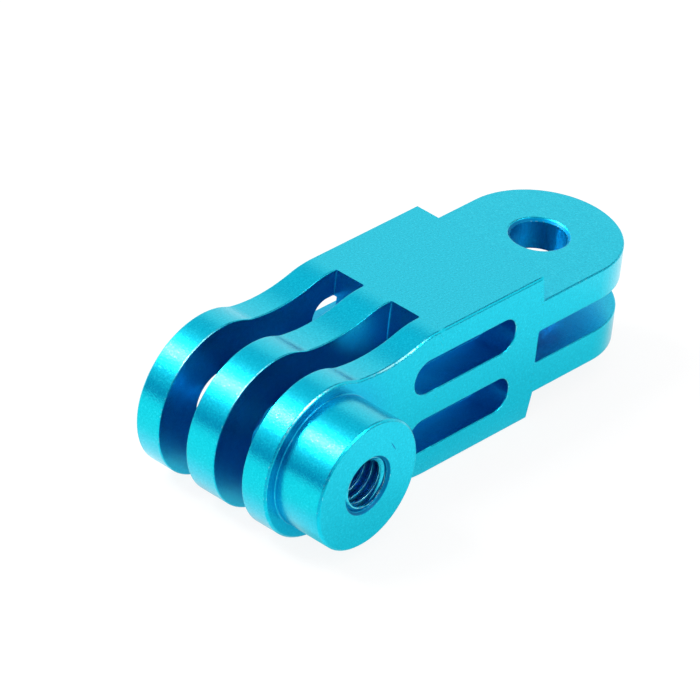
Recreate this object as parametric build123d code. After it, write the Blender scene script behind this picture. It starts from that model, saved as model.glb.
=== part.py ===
from build123d import *
import math
import os

# Extension arm milled from one block of aluminium: a three-prong knuckle with a threaded
# boss at one end, a two-prong end turned by a quarter turn at the other.
# X runs from the knuckle to the two-prong end, Y along the knuckle's bolt, Z up.
# The origin is on the knuckle's bolt axis, halfway across the width. All sizes are in mm.

# Body
WIDTH = 14.7
HEIGHT = 14.3
BODY_END_X = 26.65
END_WALL_LEAN = 0.5
END_WALL_FILLET = 0.5

# Neck between the knuckle and the body, the same above and below
NECK_LOW_X = 6.2
NECK_DEPTH = 1.0
NECK_RADIUS = 16.0
SHOULDER_RADIUS = 9.0
CREASE_RADIUS = 4.0

# Three-prong knuckle
KNUCKLE_GAP = 3.15
MIDDLE_PRONG = 3.1
KNUCKLE_GAP_END_X = 13.63
KNUCKLE_BOLT_HOLE = 5.0

# Threaded boss on the near prong
BOSS_DIAMETER = 12.0
BOSS_LENGTH = 4.85
BOSS_ROOT_FILLET = 0.06
THREAD_DIAMETER = 5.0
THREAD_CHAMFER = 0.24

# Two-prong end
STACK_HEIGHT = 9.3
STACK_GAP = 3.15
STACK_GAP_END_X = 26.85
STACK_BOLT_X = 34.8
STACK_BOLT_HOLE = 5.0

# Side slots, a blind pair in each side face; they run out into the knuckle gaps
SLOT_LENGTH = 12.86
SLOT_WIDTH = 3.26
SLOT_REACH_INTO_GAP = 0.35
SLOT_PITCH = 5.94
NEAR_SLOT_MIDDLE_X = 17.2
FAR_SLOT_MIDDLE_X = 17.6

# Edges
OUTLINE_CHAMFER = 0.18
GAP_CHAMFER = 0.06
PRONG_CHAMFER = 0.08
SLOT_CHAMFER = 0.08
HOLE_CHAMFER = 0.12
STACK_MOUTH_CHAMFER = 0.28
GAP_CORNER_RADIUS = 0.12

# Sizes that follow from the ones above
HALF_WIDTH = WIDTH / 2
HALF_HEIGHT = HEIGHT / 2
KNUCKLE_RADIUS = HALF_HEIGHT
STACK_END_RADIUS = HALF_WIDTH
STACK_END_X = STACK_BOLT_X + STACK_END_RADIUS
END_WALL_FOOT_X = BODY_END_X + END_WALL_LEAN
BOSS_FACE_Y = -HALF_WIDTH - BOSS_LENGTH
GAP_CENTRE_Y = (MIDDLE_PRONG + KNUCKLE_GAP) / 2
KNUCKLE_WALLS = (MIDDLE_PRONG / 2, MIDDLE_PRONG / 2 + KNUCKLE_GAP)
NEAR_PRONG_INNER_Y = -KNUCKLE_WALLS[1]
SLOT_DEPTH = HALF_WIDTH - KNUCKLE_WALLS[1] + SLOT_REACH_INTO_GAP
OVERRUN = 1.0
TOUCH = 0.001
ACROSS = Vector(0, 1, 0)
UP = Vector(0, 0, 1)


def close(a, b):
    """Say whether two coordinates are the same."""
    return abs(a - b) < TOUCH


def neck_points():
    """Points of the upper neck line, in the side view: crease, lowest, joint, shoulder middle, shoulder."""
    neck_centre = Vector(NECK_LOW_X, HALF_HEIGHT - NECK_DEPTH + NECK_RADIUS)
    reach = neck_centre.length
    along = (KNUCKLE_RADIUS**2 - NECK_RADIUS**2 + reach**2) / (2 * reach)
    across = math.sqrt(KNUCKLE_RADIUS**2 - along**2)
    towards = neck_centre.normalized()
    crease = towards * along + Vector(towards.Y, -towards.X) * across
    radii = NECK_RADIUS + SHOULDER_RADIUS
    turn = math.acos((radii - NECK_DEPTH) / radii)
    lowest = neck_centre - Vector(0, NECK_RADIUS)
    joint = neck_centre + Vector(math.sin(turn), -math.cos(turn)) * NECK_RADIUS
    shoulder_centre = Vector(NECK_LOW_X + radii * math.sin(turn), HALF_HEIGHT - SHOULDER_RADIUS)
    middle = shoulder_centre + Vector(-math.sin(turn / 2), math.cos(turn / 2)) * SHOULDER_RADIUS
    shoulder = shoulder_centre + Vector(0, SHOULDER_RADIUS)
    return crease, lowest, joint, middle, shoulder


def body_block():
    """Knuckle, necks and body as one block with chamfered side outlines."""
    crease, lowest, joint, middle, shoulder = neck_points()
    knuckle_turn = (math.pi + math.atan2(crease.Y, crease.X)) / 2
    knuckle_middle = Vector(math.cos(knuckle_turn), math.sin(knuckle_turn)) * KNUCKLE_RADIUS
    with BuildPart() as block:
        with BuildSketch(Plane.XZ) as side:
            with BuildLine():
                ThreePointArc((-KNUCKLE_RADIUS, 0), knuckle_middle, crease)
                ThreePointArc(crease, lowest, joint)
                ThreePointArc(joint, middle, shoulder)
                Polyline(
                    shoulder,
                    (BODY_END_X, HALF_HEIGHT),
                    (END_WALL_FOOT_X, STACK_HEIGHT / 2),
                    (END_WALL_FOOT_X, 0),
                )
                mirror(about=Plane.XZ)
            make_face()
            fillet(side.vertices().filter_by(lambda corner: close(corner.X, crease.X)), CREASE_RADIUS)
        extrude(amount=HALF_WIDTH, both=True)
        chamfer(block.faces().filter_by(Axis.Y).edges(), OUTLINE_CHAMFER)
    return block.part


def prong_stack():
    """Two-prong end before its gap is cut: a bar with a full round end, rooted in the body."""
    root_x = BODY_END_X - STACK_END_RADIUS
    with BuildPart() as stack:
        with BuildSketch():
            with BuildLine():
                Polyline(
                    (STACK_BOLT_X, HALF_WIDTH),
                    (root_x, HALF_WIDTH),
                    (root_x, -HALF_WIDTH),
                    (STACK_BOLT_X, -HALF_WIDTH),
                )
                ThreePointArc((STACK_BOLT_X, -HALF_WIDTH), (STACK_END_X, 0), (STACK_BOLT_X, HALF_WIDTH))
            make_face()
        extrude(amount=STACK_HEIGHT / 2, both=True)
        outline = stack.faces().filter_by(Axis.Z).edges()
        chamfer(outline.filter_by(lambda edge: not close(edge.center().X, root_x)), PRONG_CHAMFER)
    return stack.part


def threaded_boss():
    """Round boss standing on the near prong, with its rim chamfered."""
    buried = (HALF_WIDTH - KNUCKLE_WALLS[1]) / 2
    boss = Pos(0, -HALF_WIDTH + buried, 0) * Rot(X=90) * Cylinder(
        BOSS_DIAMETER / 2, BOSS_LENGTH + buried, align=(Align.CENTER, Align.CENTER, Align.MIN)
    )
    return chamfer(boss.edges().group_by(Axis.Y)[0], OUTLINE_CHAMFER)


def slab(gap, height, closed_x, open_x):
    """Square-cornered slab that cuts a gap from open_x to closed_x."""
    return Pos((open_x + closed_x) / 2, 0, 0) * Box(abs(open_x - closed_x), gap, height)


def with_round_corners(cutter, closed_x):
    """Round the two inner corners that a gap's slab leaves at closed_x."""
    corners = cutter.edges().filter_by(Axis.Z).filter_by(lambda edge: close(edge.center().X, closed_x))
    return fillet(corners, GAP_CORNER_RADIUS)


def knuckle_slab(closed_x):
    """Slab of one knuckle gap, centred across the width."""
    return slab(KNUCKLE_GAP, HEIGHT + 2 * OVERRUN, closed_x, -KNUCKLE_RADIUS - OVERRUN)


def gap_pair(cutter):
    """The two upright gaps between the three prongs, from the slab of one."""
    return Pos(0, GAP_CENTRE_Y, 0) * cutter + Pos(0, -GAP_CENTRE_Y, 0) * cutter


def stack_gap():
    """The level gap between the two prongs."""
    cutter = slab(STACK_GAP, WIDTH + 2 * OVERRUN, STACK_GAP_END_X, STACK_END_X + OVERRUN)
    return Rot(X=90) * with_round_corners(cutter, STACK_GAP_END_X)


def side_slots(middle_x, side):
    """The two slots of one side face, the near one for side -1 and the far one for side 1."""
    slot = Rot(X=90) * extrude(SlotOverall(SLOT_LENGTH, SLOT_WIDTH), SLOT_DEPTH, both=True)
    upper = Pos(middle_x, side * HALF_WIDTH, SLOT_PITCH / 2) * slot
    lower = Pos(middle_x, side * HALF_WIDTH, -SLOT_PITCH / 2) * slot
    return upper + lower


def hole(radius, start, end):
    """Cylinder from start to end, for a hole whose axis runs through both points."""
    axis = end - start
    plane = Plane(origin=start, z_dir=axis)
    return plane * Cylinder(radius, axis.length, align=(Align.CENTER, Align.CENTER, Align.MIN))


def bolt_holes():
    """Plain holes of both ends and the threaded hole, cut at its thread's full diameter."""
    far = Vector(0, HALF_WIDTH + OVERRUN, 0)
    near = Vector(0, NEAR_PRONG_INNER_Y, 0)
    outside = Vector(0, BOSS_FACE_Y - OVERRUN, 0)
    above = Vector(STACK_BOLT_X, 0, STACK_HEIGHT / 2 + OVERRUN)
    below = Vector(STACK_BOLT_X, 0, -STACK_HEIGHT / 2 - OVERRUN)
    plain = hole(KNUCKLE_BOLT_HOLE / 2, near, far)
    threaded = hole(THREAD_DIAMETER / 2, near, outside)
    return plain + threaded + hole(STACK_BOLT_HOLE / 2, below, above)


def lies_at(edge, axis, places):
    """Say whether an edge lies square to an axis, at one of the places on either side of zero."""
    box = edge.bounding_box()
    low, high = box.min.dot(axis), box.max.dot(axis)
    return close(low, high) and any(close(abs(low), place) for place in places)


def rings(shape, radius, axis, *places):
    """Full circles of one radius that lie at the given places along an axis."""
    circles = shape.edges().filter_by(GeomType.CIRCLE).filter_by(lambda edge: edge.is_closed)
    return circles.filter_by(lambda edge: close(edge.radius, radius) and lies_at(edge, axis, places))


def wall_rim(shape, axis, places, corner_axis):
    """Edges in the walls of a gap, apart from the corner lines where the gap ends."""
    in_wall = shape.edges().filter_by(lambda edge: lies_at(edge, axis, places))
    return in_wall.filter_by(
        lambda edge: edge.geom_type != GeomType.LINE or not close(edge.center().dot(corner_axis), 0)
    )


def with_knuckle_gaps(arm):
    """Cut the two upright gaps and break the edges of the prongs, which leaves the gaps' ends sharp."""
    arm = arm - gap_pair(knuckle_slab(KNUCKLE_GAP_END_X - GAP_CORNER_RADIUS))
    arm = chamfer(wall_rim(arm, ACROSS, KNUCKLE_WALLS, UP), GAP_CHAMFER)
    return arm - gap_pair(with_round_corners(knuckle_slab(KNUCKLE_GAP_END_X), KNUCKLE_GAP_END_X))


def with_stack_gap(arm):
    """Cut the level gap and break the edges of the two prongs along it."""
    arm = arm - stack_gap()
    return chamfer(wall_rim(arm, UP, [STACK_GAP / 2], ACROSS), PRONG_CHAMFER)


def with_side_slots(arm):
    """Cut the side slots and break their edges on both side faces."""
    arm = arm - side_slots(NEAR_SLOT_MIDDLE_X, -1) - side_slots(FAR_SLOT_MIDDLE_X, 1)
    first_x, last_x = NEAR_SLOT_MIDDLE_X - SLOT_LENGTH / 2, FAR_SLOT_MIDDLE_X + SLOT_LENGTH / 2
    reach = (SLOT_PITCH + SLOT_WIDTH) / 2
    rim = arm.edges().filter_by(
        lambda edge: lies_at(edge, ACROSS, [HALF_WIDTH])
        and first_x - TOUCH < edge.center().X < last_x + TOUCH
        and abs(edge.center().Z) < reach + TOUCH
    )
    return chamfer(rim, SLOT_CHAMFER)


def with_bolt_holes(arm):
    """Drill the holes, break their edges on every prong and countersink the threaded one."""
    arm = arm - bolt_holes()
    arm = chamfer(rings(arm, KNUCKLE_BOLT_HOLE / 2, ACROSS, *KNUCKLE_WALLS, HALF_WIDTH), HOLE_CHAMFER)
    arm = chamfer(rings(arm, STACK_BOLT_HOLE / 2, UP, STACK_GAP / 2), HOLE_CHAMFER)
    arm = chamfer(rings(arm, STACK_BOLT_HOLE / 2, UP, STACK_HEIGHT / 2), STACK_MOUTH_CHAMFER)
    return chamfer(rings(arm, THREAD_DIAMETER / 2, ACROSS, -BOSS_FACE_Y), THREAD_CHAMFER)


def extension_arm():
    """The whole arm, as one solid."""
    arm = body_block() + prong_stack()
    feet = arm.edges().filter_by(Axis.Y).filter_by(
        lambda edge: close(edge.center().X, END_WALL_FOOT_X) and close(abs(edge.center().Z), STACK_HEIGHT / 2)
    )
    arm = fillet(feet, END_WALL_FILLET)
    arm = fillet(rings(arm + threaded_boss(), BOSS_DIAMETER / 2, ACROSS, HALF_WIDTH), BOSS_ROOT_FILLET)
    arm = with_knuckle_gaps(arm)
    arm = with_stack_gap(arm)
    arm = with_side_slots(arm)
    return with_bolt_holes(arm)


if __name__ == "__main__":
    os.makedirs("parts", exist_ok=True)
    arm = extension_arm()
    print("volume", arm.volume, "solids", len(arm.solids()), "valid", arm.is_valid)
    export_step(arm, "parts/extension_arm.step")
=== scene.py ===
"""Looks of a milled extension arm in cyan anodised aluminium.

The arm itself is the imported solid. This script gives it its anodised finish, winds the thread into
its boss, and sets it in a plain studio. Lengths are in metres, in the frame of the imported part:
X runs from the knuckle to the two-prong end, the boss points to -Y, and Z is up.
"""

import logging
import math
from abc import ABC, abstractmethod
from collections.abc import Callable
from dataclasses import dataclass, field
from enum import Enum

import bpy
from mathutils import Matrix, Vector

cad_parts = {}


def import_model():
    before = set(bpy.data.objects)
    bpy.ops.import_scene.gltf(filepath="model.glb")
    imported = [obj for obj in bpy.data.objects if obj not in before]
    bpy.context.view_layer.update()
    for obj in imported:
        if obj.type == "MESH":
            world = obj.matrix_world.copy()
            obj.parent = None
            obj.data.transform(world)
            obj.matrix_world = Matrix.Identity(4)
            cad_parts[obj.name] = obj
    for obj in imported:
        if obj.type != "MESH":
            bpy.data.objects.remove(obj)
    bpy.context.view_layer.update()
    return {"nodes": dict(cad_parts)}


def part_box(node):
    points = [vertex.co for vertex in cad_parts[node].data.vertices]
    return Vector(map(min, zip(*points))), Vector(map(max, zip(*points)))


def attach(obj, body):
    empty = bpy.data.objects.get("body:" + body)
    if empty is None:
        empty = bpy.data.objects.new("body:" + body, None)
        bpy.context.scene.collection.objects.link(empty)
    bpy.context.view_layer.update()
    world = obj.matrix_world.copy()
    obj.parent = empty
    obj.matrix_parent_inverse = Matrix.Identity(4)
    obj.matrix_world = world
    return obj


Pair = tuple[float, float]
Triple = tuple[float, float, float]
Socket = bpy.types.NodeSocket

MM = 0.001
ARM_NODE = "extension_arm"
ANODISED_SLOT = "anodised_aluminium"
ROOT_BODY = "root"
ARM_MIDDLE: Triple = (18.0 * MM, 0.0, 0.0)
BOLT_AXIS: Triple = (0.0, 1.0, 0.0)
WHITE: Triple = (1.0, 1.0, 1.0)
DEEP_BLUE: Triple = (0.0, 0.04, 0.15)
SLATE_BLUE: Triple = (0.0, 0.1, 0.3)
MAX_BOUNCES = 16
GLOSSY_BOUNCES = 12

log = logging.getLogger("arm")


class Ray(Enum):
    """The kinds of ray that see a backdrop as it looks, by the name of their Light Path output."""

    CAMERA = "Is Camera Ray"
    GLOSSY = "Is Glossy Ray"
    TRANSMISSION = "Is Transmission Ray"


class NodeBench:
    """A node tree with short ways to add nodes and to join them."""

    def __init__(self, tree: bpy.types.NodeTree) -> None:
        """Empties the node tree of a material or a world."""
        self.tree = tree
        tree.nodes.clear()

    def add(self, kind: str, inputs: dict | None = None, **settings: object) -> bpy.types.Node:
        """Adds one node.

        Args:
            kind: The node's type, without its ShaderNode prefix.
            inputs: What each named socket gets, a value or another node's output.
            **settings: The node's own properties.

        Returns:
            The new node.
        """
        node = self.tree.nodes.new("ShaderNode" + kind)
        for name, value in settings.items():
            setattr(node, name, value)
        for name, value in (inputs or {}).items():
            self.feed(node.inputs[name], value)
        return node

    def feed(self, socket: Socket, value: object) -> None:
        """Links an output to a socket, or sets the socket's own value.

        Args:
            socket: The input to feed.
            value: The output to link, or the value to set.
        """
        if isinstance(value, Socket):
            self.tree.links.new(value, socket)
        else:
            socket.default_value = value

    def maths(self, operation: str, *values: object) -> Socket:
        """Adds a Math node fed with numbers or outputs, in order, and gives its result's socket."""
        return self.add("Math", dict(enumerate(values)), operation=operation).outputs[0]

    def vector(self, operation: str, *values: object, result: str = "Vector") -> Socket:
        """Adds a Vector Math node fed with triples or outputs, and gives its Vector or Value."""
        node = self.add("VectorMath", dict(enumerate(values)), operation=operation)
        return node.outputs[result]

    def past(self, value: object, start: object) -> Socket:
        """Tells how far a value lies past the start."""
        return self.maths("SUBTRACT", value, start)

    def away(self, value: object, from_value: object) -> Socket:
        """Tells how far a value lies from another, to either side."""
        return self.maths("ABSOLUTE", self.past(value, from_value))

    def rise(self, value: object, start: float, end: float) -> Socket:
        """Maps a value smoothly onto 0 to 1.

        Args:
            value: The output to map.
            start: The value that gives 0.
            end: The value that gives 1, below the start for a fall.

        Returns:
            The result's socket.
        """
        node = self.add("MapRange", {"Value": value, "From Min": start, "From Max": end},
                        interpolation_type="SMOOTHSTEP")
        return node.outputs["Result"]

    def ramp(self, value: object, stops: list[tuple[float, Triple]]) -> Socket:
        """Colours a value.

        Args:
            value: The output to colour.
            stops: The place and the colour of each stop, in order.

        Returns:
            The colour's socket.
        """
        node = self.add("ValToRGB", {"Fac": value})
        elements = node.color_ramp.elements
        while len(elements) < len(stops):
            elements.new(0.5)
        for element, (place, colour) in zip(elements, stops):
            element.position = place
            element.color = (*colour, 1.0)
        return node.outputs["Color"]

    def fade(self, value: object, first: Triple, last: Triple) -> Socket:
        """Colours a value from 0 to 1, from the first colour to the last."""
        return self.ramp(value, [(0.0, first), (1.0, last)])

    def blend(self, factor: object, first: bpy.types.Node, second: bpy.types.Node) -> bpy.types.Node:
        """Mixes two shaders.

        Args:
            factor: How much of the second shows.
            first: The node of the first shader.
            second: The node of the second shader.

        Returns:
            The mixing node.
        """
        node = self.add("MixShader", {"Fac": factor})
        self.feed(node.inputs[1], first.outputs[0])
        self.feed(node.inputs[2], second.outputs[0])
        return node

    def glowing(self, grey: float, tint: object, glow: float) -> bpy.types.Node:
        """Adds grey paper that also glows.

        Args:
            grey: The paper's grey.
            tint: The colour of its own light.
            glow: The strength of that light, where 1 is white.

        Returns:
            The node that joins both.
        """
        paper = self.add("BsdfDiffuse", {"Color": (grey, grey, grey, 1.0)})
        light = self.add("Emission", {"Color": tint, "Strength": glow})
        both = self.add("AddShader")
        self.feed(both.inputs[0], paper.outputs[0])
        self.feed(both.inputs[1], light.outputs[0])
        return both

    def seen_directly(self, *rays: Ray) -> Socket:
        """Tells certain kinds of ray from the rest.

        Args:
            *rays: The kinds to tell apart, all that see a backdrop as it looks if none is given.

        Returns:
            The socket of a value that is 1 for those kinds and 0 for others.
        """
        path = self.add("LightPath")
        total, *others = [path.outputs[ray.value] for ray in rays or Ray]
        for output in others:
            total = self.maths("MAXIMUM", total, output)
        return total


class Finish(ABC):
    """The look of a surface, which each kind of finish builds with its own nodes."""

    name: str

    @abstractmethod
    def surface(self, bench: NodeBench) -> Socket:
        """Adds the nodes of the surface.

        Args:
            bench: The material's node tree.

        Returns:
            The shader's socket.
        """

    def material(self) -> bpy.types.Material:
        """Builds the finish.

        Returns:
            The material.
        """
        material = bpy.data.materials.new(self.name)
        material.use_nodes = True
        bench = NodeBench(material.node_tree)
        bench.add("OutputMaterial", {"Surface": self.surface(bench)})
        return material


@dataclass(frozen=True)
class Zone:
    """A small ellipsoid zone of the finish, with its place and size in mm and its turn in degrees."""

    middle: Triple
    half_size: Triple
    turn: Triple = (0.0, 0.0, 0.0)
    full_until: float = 0.5

    def mask(self, bench: NodeBench, place: Socket) -> Socket:
        """Finds the zone.

        Args:
            bench: The finish's node tree.
            place: The Object coordinates.

        Returns:
            The socket of a value that is 1 inside and fades to 0 at the rim.
        """
        own = bench.add("Mapping", {
            "Vector": place,
            "Location": [value * MM for value in self.middle],
            "Rotation": [math.radians(value) for value in self.turn],
            "Scale": [value * MM for value in self.half_size],
        }, vector_type="TEXTURE")
        off_middle = bench.vector("LENGTH", own.outputs["Vector"], result="Value")
        return bench.rise(off_middle, 1.0, self.full_until)


@dataclass(frozen=True)
class Mark(Zone):
    """A zone whose colour is multiplied by a shade."""

    shade: Triple = field(kw_only=True)


@dataclass(frozen=True)
class Bore:
    """A drilled hole, duller on its wall and in a ring around its mouth, where the finish also paints
    shade.

    Across has a 1 for each of the two axes square to the hole. The ring lies between two distances
    outside the hole's radius.
    """

    middle: Triple
    across: Triple
    ring: Pair
    radius: float = 2.5 * MM
    blur: float = 0.04 * MM

    def masks(self, bench: NodeBench, place: Socket) -> tuple[Socket, Socket]:
        """Finds the hole's wall and the ring around its mouth.

        Args:
            bench: The finish's node tree.
            place: The Object coordinates.

        Returns:
            The sockets of two values, 1 on the wall and 1 in the ring.
        """
        level = bench.vector("MULTIPLY", place, self.across)
        outwards = bench.past(bench.vector("DISTANCE", level, self.middle, result="Value"), self.radius)
        inner, outer = self.ring
        off_ring = bench.away(outwards, (inner + outer) / 2)
        half = (outer - inner) / 2
        return (bench.rise(outwards, self.blur, -self.blur),
                bench.rise(off_ring, half + self.blur, half - self.blur))


@dataclass(frozen=True)
class Reading:
    """What the anodised finish reads off a surface. Walls and rings are 0 where it has no holes."""

    place: Socket
    grain: Socket
    openness: Socket
    eased: Socket
    walls: Socket | float
    rings: Socket | float


@dataclass(frozen=True)
class AnodisedFinish(Finish):
    """Cyan dye in the oxide layer of bead-blasted aluminium, with painted shade that deepens it to blue
    in recesses.
    """

    name: str = ANODISED_SLOT
    dark: Triple = (0.002, 0.53, 0.7)
    light: Triple = (0.008, 0.61, 0.78)
    glint: Triple = (0.045, 0.67, 0.83)
    bare: Triple = (0.3, 0.87, 0.94)
    dye_stops: Triple = (0.3, 0.62, 0.74)
    # Painted shade: the colour that recesses turn to, found by ambient occlusion.
    recess_painted_shade: Triple = (0.0, 0.525, 0.89)
    recess_reach: float = 5.0 * MM
    recess_openness: Pair = (0.1, 0.9)
    grain: float = 0.17 * MM
    grain_detail: float = 2.0
    grain_depth: float = 0.02 * MM
    grain_strength: float = 0.6
    blasted_openness: Pair = (0.3, 0.7)
    roughness: float = 0.24
    milled_roughness: float = 0.5
    milled_openness: Pair = (0.2, 0.6)
    oxide: float = 0.09
    edge_radius: float = 0.14 * MM
    sharp_rims_x: Pair = (13.63 * MM, 26.65 * MM)
    sharp_reach: Pair = (0.15 * MM, 0.5 * MM)
    wear_turn: Pair = (0.99, 0.95)
    wear_grain: float = 0.3 * MM
    wear_detail: float = 1.0
    wear_share: Pair = (0.58, 0.68)
    wear_openness: Pair = (0.3, 0.7)
    rub_share: Pair = (0.32, 0.52)
    bores: tuple[Bore, ...] = ()
    bore_roughness: float = 0.42
    # Painted shade on the bore walls and in the rings around their mouths.
    bore_painted_shade: Triple = (0.0, 0.74, 0.93)
    ring_painted_shade: Triple = (0.0, 0.4, 0.6)
    marks: tuple[Mark, ...] = ()
    rubs_and_highlights: tuple[Zone, ...] = ()
    samples: int = 8

    def surface(self, bench: NodeBench) -> Socket:
        """Joins the dyed metal and the clear oxide over it.

        Args:
            bench: The material's node tree.

        Returns:
            The shader's socket.
        """
        seen = self.reading(bench)
        blasted = bench.rise(seen.openness, *self.blasted_openness)
        bump = bench.add("Bump", {
            "Height": seen.grain,
            "Strength": bench.maths("MULTIPLY", blasted, self.grain_strength),
            "Distance": self.grain_depth,
            "Normal": seen.eased,
        }).outputs["Normal"]
        return bench.add("BsdfPrincipled", {
            "Base Color": self.colour(bench, seen),
            "Metallic": 1.0,
            "Roughness": self.dullness(bench, seen),
            "Coat Weight": self.oxide,
            "Coat Roughness": self.roughness,
            "Normal": bump,
            "Coat Normal": bump,
        }).outputs["BSDF"]

    def reading(self, bench: NodeBench) -> Reading:
        """Reads the blasted grain, the recesses, the rounded edges and the holes.

        Args:
            bench: The material's node tree.

        Returns:
            All that the other methods need.
        """
        place = bench.add("TexCoord").outputs["Object"]
        openness = bench.add("AmbientOcclusion", {"Distance": self.recess_reach},
                             samples=self.samples, only_local=True)
        eased = bench.add("Bevel", {"Radius": self.edge_rounding(bench, place)}, samples=self.samples)
        walls, rings = 0.0, 0.0
        for bore in self.bores:
            wall, ring = bore.masks(bench, place)
            walls = bench.maths("MAXIMUM", walls, wall)
            rings = bench.maths("MAXIMUM", rings, ring)
        grain = self.noise(bench, place, self.grain, self.grain_detail)
        return Reading(place, grain, openness.outputs["AO"], eased.outputs["Normal"], walls, rings)

    def noise(self, bench: NodeBench, place: Socket, size: float, detail: float) -> Socket:
        """Adds a noise of the given size in metres."""
        node = bench.add("TexNoise", {"Vector": place, "Scale": 1.0 / size, "Detail": detail})
        return node.outputs["Fac"]

    def colour(self, bench: NodeBench, seen: Reading) -> Socket:
        """Dyes the metal, with painted shade in recesses, holes and one gap's end, darker marks, and
        thin dye on worn edges.

        Args:
            bench: The material's node tree.
            seen: What is read off the surface.

        Returns:
            The colour's socket.
        """
        colour = bench.ramp(seen.grain, list(zip(self.dye_stops, (self.dark, self.light, self.glint))))
        closed, clear = self.recess_openness
        # Painted shade: the recess colour by ambient occlusion, the bore wall and mouth ring tints, and
        # the gap-end mark; the other marks are real.
        shades = [
            bench.ramp(seen.openness, [(closed, self.recess_painted_shade), (clear, WHITE)]),
            bench.fade(seen.walls, WHITE, self.bore_painted_shade),
            bench.fade(seen.rings, WHITE, self.ring_painted_shade),
            *(bench.fade(mark.mask(bench, seen.place), WHITE, mark.shade) for mark in self.marks),
        ]
        for shade in shades:
            colour = bench.vector("MULTIPLY", colour, shade)
        # Bare metal on worn edges; in the worn rim zones it also paints highlight lines.
        worn = bench.maths("MULTIPLY", self.edge_wear(bench, seen),
                           bench.rise(seen.openness, *self.wear_openness))
        bare = bench.add("VectorMath", {0: self.bare, "Scale": worn}, operation="SCALE").outputs[0]
        return bench.vector("MAXIMUM", colour, bare)

    def dullness(self, bench: NodeBench, seen: Reading) -> Socket:
        """Gives the roughness, higher in recesses and highest in holes and around their mouths.

        Args:
            bench: The material's node tree.
            seen: What is read off the surface.

        Returns:
            The roughness's socket.
        """
        closed, clear = self.milled_openness
        milled = bench.add("MapRange", {
            "Value": seen.openness, "From Min": closed, "From Max": clear,
            "To Min": self.milled_roughness, "To Max": self.roughness,
        }).outputs["Result"]
        drilled = bench.maths("MAXIMUM", seen.walls, seen.rings)
        return bench.maths("ADD", milled, bench.maths("MULTIPLY", drilled, self.bore_roughness))

    def edge_rounding(self, bench: NodeBench, place: Socket) -> Socket:
        """Gives the rounding that blasting leaves on edges, none where the part's edges stay sharp.

        Args:
            bench: The material's node tree.
            place: The Object coordinates.

        Returns:
            The radius's socket.
        """
        along = bench.add("SeparateXYZ", {"Vector": place}).outputs["X"]
        radius = self.edge_radius
        for sharp_x in self.sharp_rims_x:
            rounded = bench.rise(bench.away(along, sharp_x), *self.sharp_reach)
            radius = bench.maths("MULTIPLY", rounded, radius)
        return radius

    def edge_wear(self, bench: NodeBench, seen: Reading) -> Socket:
        """Finds the worn specks on edges and the worn rim zones, where the dye is thin; in those zones
        the bare metal also paints highlight lines.

        Args:
            bench: The material's node tree.
            seen: What is read off the surface.

        Returns:
            The socket of a value that is 1 in a speck or a worn zone.
        """
        plain = bench.add("NewGeometry").outputs["Normal"]
        alike = bench.vector("DOT_PRODUCT", seen.eased, plain, result="Value")
        specks = self.noise(bench, seen.place, self.wear_grain, self.wear_detail)
        worn = bench.maths("MULTIPLY", bench.rise(alike, *self.wear_turn),
                           bench.rise(specks, *self.wear_share))
        patchy = bench.rise(specks, *self.rub_share)
        for rub_and_highlight in self.rubs_and_highlights:
            rubbed_and_highlit = bench.maths("MULTIPLY", patchy, rub_and_highlight.mask(bench, seen.place))
            worn = bench.maths("MAXIMUM", worn, rubbed_and_highlit)
        return worn


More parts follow.
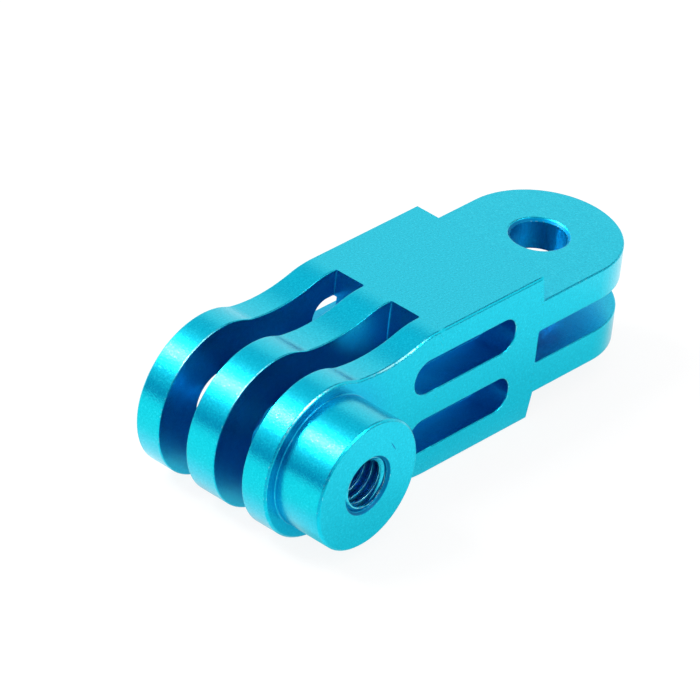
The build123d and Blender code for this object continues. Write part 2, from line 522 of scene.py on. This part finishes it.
@dataclass(frozen=True)
class FloorFinish(Finish):
    """White sweep paper: white with a faint shadow to the eye, and with painted shadow and painted
    tinted light in what metal mirrors.
    """

    name: str = "studio_floor"
    paper: float = 0.4
    shown_paper: float = 0.13
    shown_glow: float = 0.88
    mirrored_glow: float = 0.59
    painted_shadow_under_arm: Triple = (0.0, 0.05, 0.3)
    footprint_middle: float = 19.5 * MM
    footprint_length: float = 43.0 * MM
    footprint_width: float = 14.7 * MM
    fade_inside: float = 3.5 * MM
    fade_outside: float = 0.5 * MM
    # Tints of the painted floor light: left and front are painted cyan light from the arm, the
    # front-left one is painted shade, and far left and far front are a painted dimming.
    near: Triple = (1.0, 0.98, 0.95)
    left: Triple = (0.0, 1.0, 0.86)
    left_x: float = -12.0 * MM
    front: Triple = (0.05, 0.96, 1.0)
    front_y: float = -9.5 * MM
    front_end_x: float = 46.0 * MM
    painted_corner_shade: Triple = (0.1, 0.35, 0.6)
    corner_x: float = -13.0 * MM
    tint_fade: float = 4.0 * MM
    far: Triple = (0.1, 0.3, 0.45)
    far_left_x: float = -130.0 * MM
    far_fade: float = 95.0 * MM
    far_front: Triple = (0.0, 0.06, 0.15)
    far_front_y: float = -65.0 * MM
    far_front_fade: float = 35.0 * MM

    def surface(self, bench: NodeBench) -> Socket:
        """Shows white paper to the eye, and painted, tinted light to what mirrors the floor.

        Args:
            bench: The material's node tree.

        Returns:
            The shader's socket.
        """
        plain = bench.add("BsdfDiffuse", {"Color": (self.paper, self.paper, self.paper, 1.0)})
        mirrored = bench.glowing(self.paper, self.painted_floor_light(bench), self.mirrored_glow)
        shown = bench.glowing(self.shown_paper, (*WHITE, 1.0), self.shown_glow)
        reflected = bench.blend(bench.seen_directly(Ray.GLOSSY, Ray.TRANSMISSION), plain, mirrored)
        return bench.blend(bench.seen_directly(Ray.CAMERA), reflected, shown).outputs[0]

    def painted_floor_light(self, bench: NodeBench) -> Socket:
        """Gives the colour of the floor's painted light.

        It is white beside the arm, with a painted shadow of dim blue in the narrow space under it. To
        the left and in front it has a painted cyan tint, as of the light that the arm throws there, and
        a painted shade at the front-left. Far left and far in front it dims, a painted falloff.

        Args:
            bench: The floor's node tree.

        Returns:
            The colour's socket.
        """
        parts = bench.add("SeparateXYZ", {"Vector": bench.add("TexCoord").outputs["Object"]}).outputs
        x, y = parts["X"], parts["Y"]
        past_end = bench.past(bench.away(x, self.footprint_middle), self.footprint_length / 2)
        past_side = bench.past(bench.maths("ABSOLUTE", y), self.footprint_width / 2)
        openness = bench.rise(bench.maths("MAXIMUM", past_end, past_side),
                              -self.fade_inside, self.fade_outside)
        light = bench.fade(openness, self.painted_shadow_under_arm, self.near)
        behind_front = bench.past(y, self.front_y)
        past_front = bench.maths("MAXIMUM", behind_front, bench.past(x, self.front_end_x))
        past_corner = bench.maths("MAXIMUM", behind_front, bench.past(x, self.corner_x))
        for along, start, fade, tint in (
            (x, self.left_x, self.tint_fade, self.left),
            (past_front, 0.0, self.tint_fade, self.front),
            (past_corner, 0.0, self.tint_fade, self.painted_corner_shade),
            (x, self.far_left_x, self.far_fade, self.far),
            (y, self.far_front_y, self.far_front_fade, self.far_front),
        ):
            tinted = bench.fade(bench.rise(along, start, start + fade), tint, WHITE)
            light = bench.vector("MULTIPLY", light, tinted)
        return light


@dataclass(frozen=True)
class CardFinish(Finish):
    """Colour of a card that metal mirrors, running from one edge to the other."""

    name: str
    first: Triple
    last: Triple

    def surface(self, bench: NodeBench) -> Socket:
        """Glows in the card's colours, alike at every angle.

        Args:
            bench: The material's node tree.

        Returns:
            The shader's socket.
        """
        place = bench.add("TexCoord").outputs["UV"]
        across = bench.add("SeparateXYZ", {"Vector": place}).outputs["X"]
        colour = bench.fade(across, self.first, self.last)
        return bench.add("Emission", {"Color": colour, "Strength": 1.0}).outputs[0]


NICK = Mark((2.72, -12.2, 2.74), (0.75, 0.1, 0.075), turn=(0.0, 54.5, 0.0), shade=(0.0, 0.45, 0.65))
PIT = Mark((-4.56, -5.71, 5.51), (0.13, 0.13, 0.13), shade=(0.0, 0.28, 0.5))
SCRATCH = Mark((-5.6, 6.58, 4.45), (0.08, 0.24, 0.08), shade=(9.0, 1.3, 1.2))
# Painted shade, darkening the end of the gap between the two prongs.
GAP_END_PAINTED_SHADE = Mark((30.2, -4.4, -1.6), (3.0, 2.8, 1.2), shade=(0.35, 0.6, 0.72))

# Worn rim zones of bare metal: real wear, and also painted highlight lines along the neck, the knuckle
# rims and the slot ends.
NECK_RUB_HIGHLIGHT = Zone((8.4, -7.25, 6.3), (4.4, 0.075, 2.2))
FAR_RIM_RUB_HIGHLIGHT = Zone((-3.7, 4.76, 5.9), (4.4, 0.055, 3.2))
MIDDLE_RIM_RUB_HIGHLIGHT = Zone((-3.7, -1.49, 5.9), (4.0, 0.055, 3.0))
NEAR_RIM_RUB_HIGHLIGHT = Zone((-3.2, -7.25, 6.1), (4.4, 0.07, 3.2))
SLOT_END_RUB_HIGHLIGHTS = tuple(Zone((23.1, -7.27, z), (2.2, 0.08, 1.4)) for z in (3.7, -2.2))

STACK_BORE = Bore((34.8 * MM, 0.0, 0.0), across=(1.0, 1.0, 0.0), ring=(0.0, 0.2 * MM))
KNUCKLE_BORE = Bore((0.0, 0.0, 0.0), across=(1.0, 0.0, 1.0), ring=(0.02 * MM, 0.22 * MM))

ARM_FINISH = AnodisedFinish(
    bores=(STACK_BORE, KNUCKLE_BORE),
    marks=(NICK, PIT, SCRATCH, GAP_END_PAINTED_SHADE),
    rubs_and_highlights=(NECK_RUB_HIGHLIGHT, FAR_RIM_RUB_HIGHLIGHT, MIDDLE_RIM_RUB_HIGHLIGHT, NEAR_RIM_RUB_HIGHLIGHT, *SLOT_END_RUB_HIGHLIGHTS),
)


def facing_arm(towards: Triple, distance: float) -> Matrix:
    """Places a lamp or card so that its front looks at the middle of the arm.

    Its width then lies square to the knuckle's bolt axis, and its height leans along that axis.

    Args:
        towards: The direction from the arm to it.
        distance: How far away it is.

    Returns:
        Its world matrix.
    """
    back = Vector(towards).normalized()
    across = Vector(BOLT_AXIS).cross(back).normalized()
    turned = Matrix((across, back.cross(across), back)).transposed().to_4x4()
    return Matrix.Translation(Vector(ARM_MIDDLE) + back * distance) @ turned


@dataclass
class Softbox:
    """A soft rectangular lamp that faces the arm.

    Its brightness is that of its face, whatever its size.
    """

    name: str
    towards: Triple
    width: float
    height: float
    brightness: float
    distance: float = 1.0
    lights_floor: bool = True

    def build(self) -> bpy.types.Object:
        """Hangs the lamp.

        Returns:
            The lamp's object.
        """
        data = bpy.data.lights.new(self.name, "AREA")
        data.shape = "RECTANGLE"
        data.size = self.width
        data.size_y = self.height
        data.energy = self.brightness * math.pi * self.width * self.height
        lamp = bpy.data.objects.new(self.name, data)
        bpy.context.collection.objects.link(lamp)
        lamp.matrix_world = facing_arm(self.towards, self.distance)
        lamp.visible_diffuse = self.lights_floor
        return lamp


@dataclass
class Card:
    """A coloured card outside the view, there for the metal to mirror.

    It has one colour all over, or runs to its last colour.
    """

    name: str
    towards: Triple
    width: float
    height: float
    first: Triple
    last: Triple | None = None
    distance: float = 1.1

    def build(self) -> bpy.types.Object:
        """Hangs the card.

        Returns:
            The card's object, which only reflections show.
        """
        bpy.ops.object.select_all(action="DESELECT")
        bpy.ops.mesh.primitive_plane_add(size=1.0)
        card = bpy.context.object
        card.name = self.name
        card.scale = (self.width, self.height, 1.0)
        bpy.ops.object.transform_apply(location=False, rotation=False, scale=True)
        card.matrix_world = facing_arm(self.towards, self.distance)
        finish = CardFinish(self.name, self.first, self.last or self.first)
        card.data.materials.append(finish.material())
        card.visible_camera = False
        card.visible_diffuse = False
        card.visible_shadow = False
        return card


@dataclass
class Studio:
    """Plain floor, soft lamps, coloured cards and a white surround."""

    floor_size: float = 8.0
    room_light: float = 0.9
    softboxes: list[Softbox] = field(default_factory=lambda: [
        Softbox("key_softbox", (-0.399, 0.527, 0.75), 0.285, 0.6, brightness=17.0),
        Softbox("key_core", (-0.399, 0.527, 0.75), 0.12, 0.3, brightness=42.0, distance=0.98,
                lights_floor=False),
        Softbox("front_softbox", (0.14, -0.755, 0.64), 0.62, 0.14, brightness=6.5, lights_floor=False),
    ])
    # These cards glow, though they are no lamps, and only reflections show them: painted reflections of
    # the cyan, blue and dark bands in the metal.
    cards: list[Card] = field(default_factory=lambda: [
        Card("low_left_card", (-0.845, 0.527, 0.085), 0.21, 1.2, (0.0, 0.26, 0.46), (0.02, 0.4, 0.57)),
        Card("left_card", (-0.785, 0.527, 0.325), 0.43, 1.3, (0.02, 0.4, 0.57), (0.5, 0.92, 0.95),
             distance=1.08),
        Card("overhead_card", (0.392, 0.375, 0.84), 0.62, 1.2, (0.2, 0.72, 0.81), distance=1.2),
        Card("upper_right_card", (0.68, 0.0, 0.733), 0.56, 0.8, DEEP_BLUE),
        Card("right_card", (0.654, -0.757, -0.02), 0.86, 0.5, DEEP_BLUE),
        Card("front_card", (0.17, -0.61, 0.77), 0.62, 0.26, SLATE_BLUE),
        Card("camera_card", (-0.2, -0.38, 0.88), 1.0, 0.6, SLATE_BLUE),
        Card("front_left_card", (-0.78, -0.6, 0.15), 0.9, 0.9, (0.0, 0.15, 0.35)),
    ])

    def build(self, ground: float) -> None:
        """Sets up everything around the arm.

        Args:
            ground: The height that the arm stands on.
        """
        self.floor(ground)
        self.world()
        for lamp in self.softboxes:
            lamp.build()
            log.info("lamp %s", lamp.name)
        for card in self.cards:
            card.build()
            log.info("card %s", card.name)

    def floor(self, ground: float) -> bpy.types.Object:
        """Lays the floor under the arm.

        Args:
            ground: The height that the arm stands on.

        Returns:
            The floor's object.
        """
        bpy.ops.object.select_all(action="DESELECT")
        bpy.ops.mesh.primitive_plane_add(size=self.floor_size, location=(0.0, 0.0, ground))
        floor = bpy.context.object
        floor.name = "floor"
        floor.data.materials.append(FloorFinish().material())
        return floor

    def world(self) -> None:
        """Gives the room its white surround, which also lights the arm evenly."""
        world = bpy.data.worlds.new("studio")
        world.use_nodes = True
        bpy.context.scene.world = world
        bench = NodeBench(world.node_tree)
        fill = bench.add("Background", {"Color": (*WHITE, 1.0), "Strength": self.room_light})
        shown = bench.add("Background", {"Color": (*WHITE, 1.0), "Strength": 1.0})
        mix = bench.blend(bench.seen_directly(), fill, shown)
        bench.add("OutputWorld", {"Surface": mix.outputs[0]})


def select_points(piece: bpy.types.Object, wanted: Callable[[Vector], bool]) -> None:
    """Opens a piece in edit mode with the points selected that pass the test.

    Args:
        piece: The active object.
        wanted: The test of a point's place.
    """
    bpy.ops.object.mode_set(mode="EDIT")
    bpy.ops.mesh.select_mode(type="VERT")
    bpy.ops.mesh.select_all(action="DESELECT")
    bpy.ops.object.mode_set(mode="OBJECT")
    for point in piece.data.vertices:
        point.select = wanted(point.co)
    bpy.ops.object.mode_set(mode="EDIT")
    bpy.ops.mesh.select_mode(type="VERT")


@dataclass
class BossThread:
    """Turns of the M5 x 0.8 thread, standing on the plain wall of the boss's hole."""

    name: str = "boss_thread"
    pitch: float = 0.8 * MM
    wall_radius: float = 2.5 * MM
    crest_radius: float = 2.07 * MM
    foot_width: float = 0.7 * MM
    crest_width: float = 0.18 * MM
    sunk: float = 0.03 * MM
    mouth_y: float = -12.2 * MM
    mouth_radius: float = 2.74 * MM
    mouth_setback: float = 0.05 * MM
    lead_in_spare: float = 0.25 * MM
    inner_y: float = -4.72 * MM
    spare_turns: int = 2
    weld: float = 0.001 * MM
    smooth_angle: float = 35.0
    steps: int = 64
    finish: AnodisedFinish = AnodisedFinish(
        # Its recess colour is a light painted shade.
        name="cut_thread", dark=(0.0, 0.54, 0.7), light=(0.08, 0.66, 0.82), recess_painted_shade=(0.25, 0.8, 0.98),
        bare=(0.5, 0.95, 1.0), milled_roughness=0.2, edge_radius=0.05 * MM,
        wear_share=(0.35, 0.5), wear_openness=(0.0, 0.15))

    def mesh(self) -> bpy.types.Object:
        """Winds the ridge around the hole's axis and trims it to the hole.

        Returns:
            The thread's object.
        """
        ridge = self.ridge()
        room = self.room()
        trim = ridge.modifiers.new("trim", "BOOLEAN")
        trim.operation = "INTERSECT"
        trim.solver = "EXACT"
        trim.object = room
        bpy.ops.object.select_all(action="DESELECT")
        ridge.select_set(True)
        bpy.context.view_layer.objects.active = ridge
        bpy.ops.object.modifier_apply(modifier=trim.name)
        bpy.data.objects.remove(room)
        bpy.ops.object.shade_smooth_by_angle(angle=math.radians(self.smooth_angle))
        return ridge

    def ridge(self) -> bpy.types.Object:
        """Winds the ridge's section, a plane narrowed at the crest, along the whole hole.

        Returns:
            The ridge's object, closed at both ends.
        """
        foot = self.wall_radius + self.sunk
        middle = ((foot + self.crest_radius) / 2, self.mouth_y - self.pitch, 0.0)
        bpy.ops.object.select_all(action="DESELECT")
        bpy.ops.mesh.primitive_plane_add(size=1.0, location=middle)
        ridge = bpy.context.object
        ridge.name = self.name
        ridge.scale = (foot - self.crest_radius, self.foot_width, 1.0)
        bpy.ops.object.transform_apply(location=True, rotation=False, scale=True)
        select_points(ridge, lambda point: point.x < middle[0])
        bpy.ops.transform.resize(value=(1.0, self.crest_width / self.foot_width, 1.0))
        bpy.ops.mesh.select_all(action="SELECT")
        bpy.ops.mesh.delete(type="ONLY_FACE")
        bpy.ops.object.mode_set(mode="OBJECT")
        wind = ridge.modifiers.new("wind", "SCREW")
        wind.axis = "Y"
        wind.angle = 2 * math.pi
        wind.screw_offset = self.pitch
        wind.iterations = math.ceil((self.inner_y - self.mouth_y) / self.pitch) + self.spare_turns
        wind.steps = self.steps
        wind.render_steps = self.steps
        bpy.ops.object.modifier_apply(modifier=wind.name)
        bpy.ops.object.mode_set(mode="EDIT")
        bpy.ops.mesh.select_all(action="SELECT")
        bpy.ops.mesh.remove_doubles(threshold=self.weld)
        bpy.ops.mesh.select_all(action="DESELECT")
        bpy.ops.mesh.select_non_manifold()
        bpy.ops.mesh.fill_holes(sides=0)
        bpy.ops.mesh.select_all(action="SELECT")
        bpy.ops.mesh.normals_make_consistent(inside=False)
        bpy.ops.object.mode_set(mode="OBJECT")
        return ridge

    def room(self) -> bpy.types.Object:
        """Shapes the space that the turns may fill, a cylinder drawn out to a cone at the mouth.

        Returns:
            The space's object.
        """
        full = self.wall_radius + 2 * self.sunk
        lead_in = self.mouth_radius - self.wall_radius + self.lead_in_spare
        cone_y = self.mouth_y + self.mouth_setback + lead_in
        middle_y = (cone_y + self.inner_y) / 2
        bpy.ops.object.select_all(action="DESELECT")
        bpy.ops.mesh.primitive_cylinder_add(
            vertices=self.steps, radius=full, depth=self.inner_y - cone_y,
            location=(0.0, middle_y, 0.0), rotation=(math.radians(90), 0.0, 0.0))
        room = bpy.context.object
        bpy.ops.object.transform_apply(location=True, rotation=True, scale=False)
        select_points(room, lambda point: point.y < middle_y)
        bpy.ops.mesh.extrude_region_move(TRANSFORM_OT_translate={"value": (0.0, -lead_in, 0.0)})
        narrowing = self.crest_radius / full
        bpy.ops.transform.resize(value=(narrowing, 1.0, narrowing))
        bpy.ops.object.mode_set(mode="OBJECT")
        return room

    def dress(self, thread: bpy.types.Object, finish: bpy.types.Material) -> None:
        """Gives the thread its finish and its body.

        Args:
            thread: The thread's object.
            finish: The anodised material.
        """
        thread.data.materials.clear()
        thread.data.materials.append(finish)
        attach(thread, ROOT_BODY)


@dataclass
class ProductCamera:
    """A long lens that looks down on the arm from the knuckle's near side."""

    azimuth: float = -51.322
    elevation: float = 32.531
    roll: float = 6.642
    distance: float = 543.78 * MM
    aim: Triple = (14.024 * MM, 2.566 * MM, 0.0)
    lens: float = 331.68
    film: float = 36.0
    near_clip: float = 10.0 * MM

    def build(self) -> bpy.types.Object:
        """Sets up the camera and makes it the scene's own.

        Returns:
            The camera's object.
        """
        turn, rise = math.radians(self.azimuth), math.radians(self.elevation)
        back = Vector((math.sin(turn) * math.cos(rise), -math.cos(turn) * math.cos(rise),
                       math.sin(rise)))
        data = bpy.data.cameras.new("product_camera")
        data.lens = self.lens
        data.sensor_width = self.film
        data.clip_start = self.near_clip
        camera = bpy.data.objects.new("product_camera", data)
        bpy.context.collection.objects.link(camera)
        level = (-back).to_track_quat("-Z", "Y").to_matrix().to_4x4()
        tilt = Matrix.Rotation(math.radians(self.roll), 4, "Z")
        camera.matrix_world = Matrix.Translation(Vector(self.aim) + back * self.distance) @ level @ tilt
        bpy.context.scene.camera = camera
        return camera


def main() -> None:
    """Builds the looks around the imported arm, in order."""
    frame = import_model()
    arm = frame["nodes"][ARM_NODE]
    finish = ARM_FINISH.material()
    for material_slot in arm.material_slots:
        material_slot.material = finish
    log.info("dressed %s", arm.name)
    boss_thread = BossThread()
    thread = boss_thread.mesh()
    boss_thread.dress(thread, boss_thread.finish.material())
    log.info("built %s, %d faces", thread.name, len(thread.data.polygons))
    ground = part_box(ARM_NODE)[0].z
    Studio().build(ground)
    ProductCamera().build()
    scene = bpy.context.scene
    scene.view_settings.view_transform = "Standard"
    scene.cycles.max_bounces = MAX_BOUNCES
    scene.cycles.glossy_bounces = GLOSSY_BOUNCES


if __name__ == "__main__":
    logging.basicConfig(level=logging.INFO, format="%(name)s: %(message)s")
    main()
